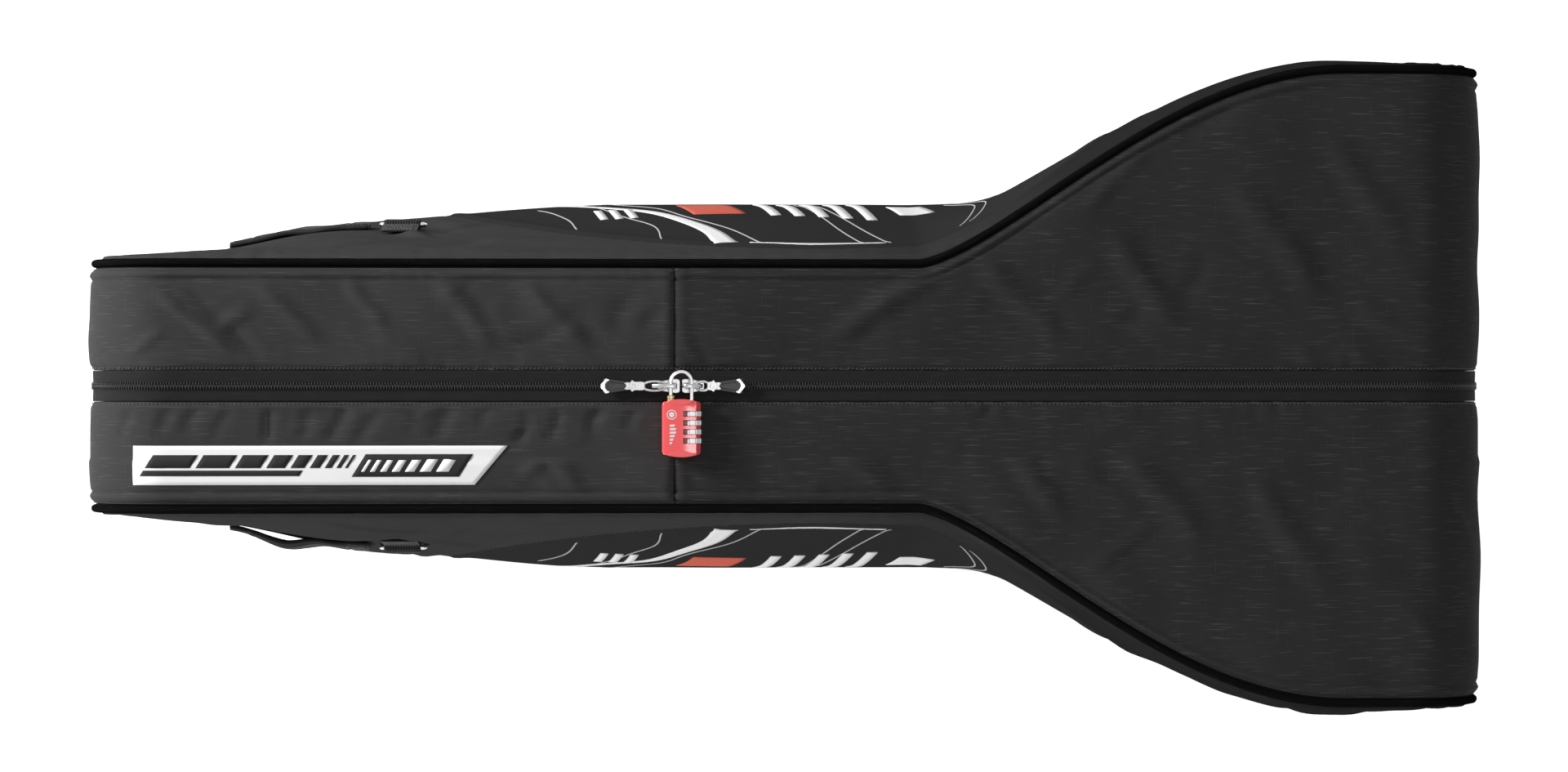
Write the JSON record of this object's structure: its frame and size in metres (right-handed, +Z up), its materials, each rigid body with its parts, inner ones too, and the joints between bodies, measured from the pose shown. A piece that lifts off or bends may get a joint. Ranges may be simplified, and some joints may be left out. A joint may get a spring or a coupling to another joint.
{
  "type": "soft bike travel bag",
  "caption": "padded travel bag for a bicycle, flared at the handlebar end, on swivel casters, with a locked top zipper, wheel pockets and an inner axle frame",
  "frame": {"origin": "on the floor, under the middle of the bag", "axes": "+X towards the wide handlebar end, +Y to the left side, +Z up"},
  "size_m": [1.06, 0.5062, 0.9435],
  "materials": {
    "padded_fabric": "woven, matte",
    "printed_fabric": "smooth coated cloth with a light print",
    "lining": "matte",
    "piping": "satin",
    "zip_tape": "woven, matte",
    "webbing": "ribbed, matte",
    "patch": "matte",
    "tray_plastic": "moulded, satin",
    "foam": "matte",
    "steel": "brushed",
    "aluminium": "satin",
    "black_metal": "satin",
    "brass": "satin",
    "rubber": "matte",
    "red_paint": "satin"
  },
  "bodies": {
    "base": {"base_tray": "tray_plastic", "base_liner": "foam", "stand_frame": "steel", "rear_stand": "aluminium", "caster_plate_1": "steel", "caster_plate_2": "steel", "caster_plate_3": "steel", "caster_plate_4": "steel"},
    "rear_axle": {"rear_axle": "steel", "rear_lever": "black_metal"},
    "fork_carriage": {"fork_stand": "aluminium"},
    "fork_axle": {"fork_axle": "steel", "fork_lever": "black_metal"},
    "clamp_knob": {"clamp_knob": "rubber"},
    "caster_swivel_1": {"caster_fork_1": "black_metal"},
    "caster_wheel_1": {"caster_wheel_1": "rubber"},
    "caster_swivel_2": {"caster_fork_2": "black_metal"},
    "caster_wheel_2": {"caster_wheel_2": "rubber"},
    "caster_swivel_3": {"caster_fork_3": "black_metal"},
    "caster_wheel_3": {"caster_wheel_3": "rubber"},
    "caster_swivel_4": {"caster_fork_4": "black_metal"},
    "caster_wheel_4": {"caster_wheel_4": "rubber"},
    "left_half": {"side_panel_left": "printed_fabric", "gusset_rear_left": "padded_fabric", "gusset_front_left": "padded_fabric", "piping_left": "piping", "zip_tape_left": "zip_tape", "wheel_pocket_left": "lining", "strap_tab_left": "webbing"},
    "right_half": {"side_panel_right": "printed_fabric", "gusset_rear_right": "padded_fabric", "gusset_front_right": "padded_fabric", "piping_right": "piping", "zip_tape_right": "zip_tape", "wheel_pocket_right": "lining", "strap_tab_right": "webbing", "label_patch": "patch"},
    "strap_ring_left": {"strap_ring_left": "steel"},
    "carry_handle_left": {"carry_handle_left": "webbing"},
    "strap_ring_right": {"strap_ring_right": "steel"},
    "carry_handle_right": {"carry_handle_right": "webbing"},
    "slider_rear": {"slider_rear": "aluminium"},
    "puller_rear": {"puller_link_rear": "aluminium", "puller_cord_rear": "rubber", "puller_cap_rear": "aluminium"},
    "slider_front": {"slider_front": "aluminium"},
    "puller_front": {"puller_link_front": "aluminium", "puller_cord_front": "rubber", "puller_cap_front": "aluminium"},
    "lock_shackle": {"lock_shackle": "steel"},
    "lock_case": {"lock_case": "red_paint", "lock_bushing": "brass"},
    "lock_dial_1": {"lock_dial_1": "aluminium"},
    "lock_dial_2": {"lock_dial_2": "aluminium"},
    "lock_dial_3": {"lock_dial_3": "aluminium"},
    "lock_dial_4": {"lock_dial_4": "aluminium"}
  },
  "joints": [
    {"name": "left_half_fold", "type": "hinge", "parent": "base", "child": "left_half", "pos_m": [0, 0.115, 0.1], "axis": [-1, 0, 0], "range_deg": [0, 80]},
    {"name": "right_half_fold", "type": "hinge", "parent": "base", "child": "right_half", "pos_m": [0, -0.115, 0.1], "axis": [1, 0, 0], "range_deg": [0, 80]},
    {"name": "fork_stand_slide", "type": "slide", "parent": "base", "child": "fork_carriage", "axis": [1, 0, 0], "range_m": [-0.1, 0.01]},
    {"name": "fork_axle_turn", "type": "hinge", "parent": "fork_carriage", "child": "fork_axle", "pos_m": [0.47, 0, 0.24], "axis": [0, 1, 0], "continuous": true},
    {"name": "rear_axle_turn", "type": "hinge", "parent": "base", "child": "rear_axle", "pos_m": [-0.47, 0, 0.24], "axis": [0, 1, 0], "continuous": true},
    {"name": "clamp_knob_turn", "type": "hinge", "parent": "fork_carriage", "child": "clamp_knob", "pos_m": [0.418, 0, 0.0849], "axis": [0, 0, 1], "continuous": true},
    {"name": "caster_swivel_1", "type": "hinge", "parent": "base", "child": "caster_swivel_1", "pos_m": [-0.45, 0.074, 0.062], "axis": [0, 0, 1], "continuous": true},
    {"name": "caster_spin_1", "type": "hinge", "parent": "caster_swivel_1", "child": "caster_wheel_1", "pos_m": [-0.43, 0.074, 0.024], "axis": [0, 1, 0], "continuous": true},
    {"name": "caster_swivel_2", "type": "hinge", "parent": "base", "child": "caster_swivel_2", "pos_m": [-0.45, -0.074, 0.062], "axis": [0, 0, 1], "continuous": true},
    {"name": "caster_spin_2", "type": "hinge", "parent": "caster_swivel_2", "child": "caster_wheel_2", "pos_m": [-0.43, -0.074, 0.024], "axis": [0, 1, 0], "continuous": true},
    {"name": "caster_swivel_3", "type": "hinge", "parent": "base", "child": "caster_swivel_3", "pos_m": [0.45, 0.074, 0.062], "axis": [0, 0, 1], "continuous": true},
    {"name": "caster_spin_3", "type": "hinge", "parent": "caster_swivel_3", "child": "caster_wheel_3", "pos_m": [0.47, 0.074, 0.024], "axis": [0, 1, 0], "continuous": true},
    {"name": "caster_swivel_4", "type": "hinge", "parent": "base", "child": "caster_swivel_4", "pos_m": [0.45, -0.074, 0.062], "axis": [0, 0, 1], "continuous": true},
    {"name": "caster_spin_4", "type": "hinge", "parent": "caster_swivel_4", "child": "caster_wheel_4", "pos_m": [0.47, -0.074, 0.024], "axis": [0, 1, 0], "continuous": true},
    {"name": "strap_ring_swing_left", "type": "hinge", "parent": "left_half", "child": "strap_ring_left", "pos_m": [-0.3046, 0.12696, 0.77], "axis": [1, 0, 0], "range_deg": [0, 90]},
    {"name": "carry_handle_lift_left", "type": "hinge", "parent": "left_half", "child": "carry_handle_left", "pos_m": [-0.3046, 0.11777, 0.7825], "axis": [1, 0, 0], "range_deg": [0, 35]},
    {"name": "strap_ring_swing_right", "type": "hinge", "parent": "right_half", "child": "strap_ring_right", "pos_m": [-0.3046, -0.12696, 0.77], "axis": [-1, 0, 0], "range_deg": [0, 90]},
    {"name": "carry_handle_lift_right", "type": "hinge", "parent": "right_half", "child": "carry_handle_right", "pos_m": [-0.3046, -0.11777, 0.7825], "axis": [-1, 0, 0], "range_deg": [0, 35]},
    {"name": "zip_slide_rear", "type": "slide", "parent": "right_half", "child": "slider_rear", "axis": [0.9988, 0, -0.049], "range_m": [-0.32, 0.45]},
    {"name": "zip_slide_front", "type": "slide", "parent": "right_half", "child": "slider_front", "axis": [0.9988, 0, -0.049], "range_m": [-0.32, 0.45]},
    {"name": "puller_rear_lift", "type": "hinge", "parent": "slider_rear", "child": "puller_rear", "pos_m": [-0.09298, 0, 0.92777], "axis": [0, 1, 0], "range_deg": [0, 95]},
    {"name": "puller_front_lift", "type": "hinge", "parent": "slider_front", "child": "puller_front", "pos_m": [-0.06921, 0, 0.9266], "axis": [0, -1, 0], "range_deg": [0, 95]},
    {"name": "lock_swing", "type": "hinge", "parent": "slider_rear", "child": "lock_shackle", "pos_m": [-0.0809, 0, 0.93118], "axis": [-0.9988, 0, 0.049], "range_deg": [0, 15]},
    {"name": "lock_release", "type": "slide", "parent": "lock_shackle", "child": "lock_case", "axis": [0, -1, 0], "range_m": [0, 0.008]},
    {"name": "lock_dial_turn_1", "type": "hinge", "parent": "lock_case", "child": "lock_dial_1", "pos_m": [-0.07251, -0.0208, 0.93077], "axis": [0, 1, 0], "continuous": true},
    {"name": "lock_dial_turn_2", "type": "hinge", "parent": "lock_case", "child": "lock_dial_2", "pos_m": [-0.07251, -0.02754, 0.93077], "axis": [0, 1, 0], "continuous": true},
    {"name": "lock_dial_turn_3", "type": "hinge", "parent": "lock_case", "child": "lock_dial_3", "pos_m": [-0.07251, -0.03428, 0.93077], "axis": [0, 1, 0], "continuous": true},
    {"name": "lock_dial_turn_4", "type": "hinge", "parent": "lock_case", "child": "lock_dial_4", "pos_m": [-0.07251, -0.04102, 0.93077], "axis": [0, 1, 0], "continuous": true}
  ],
  "couplings": [
    {"joint": "zip_slide_front", "follows": "zip_slide_rear", "ratio": 1}
  ]
}
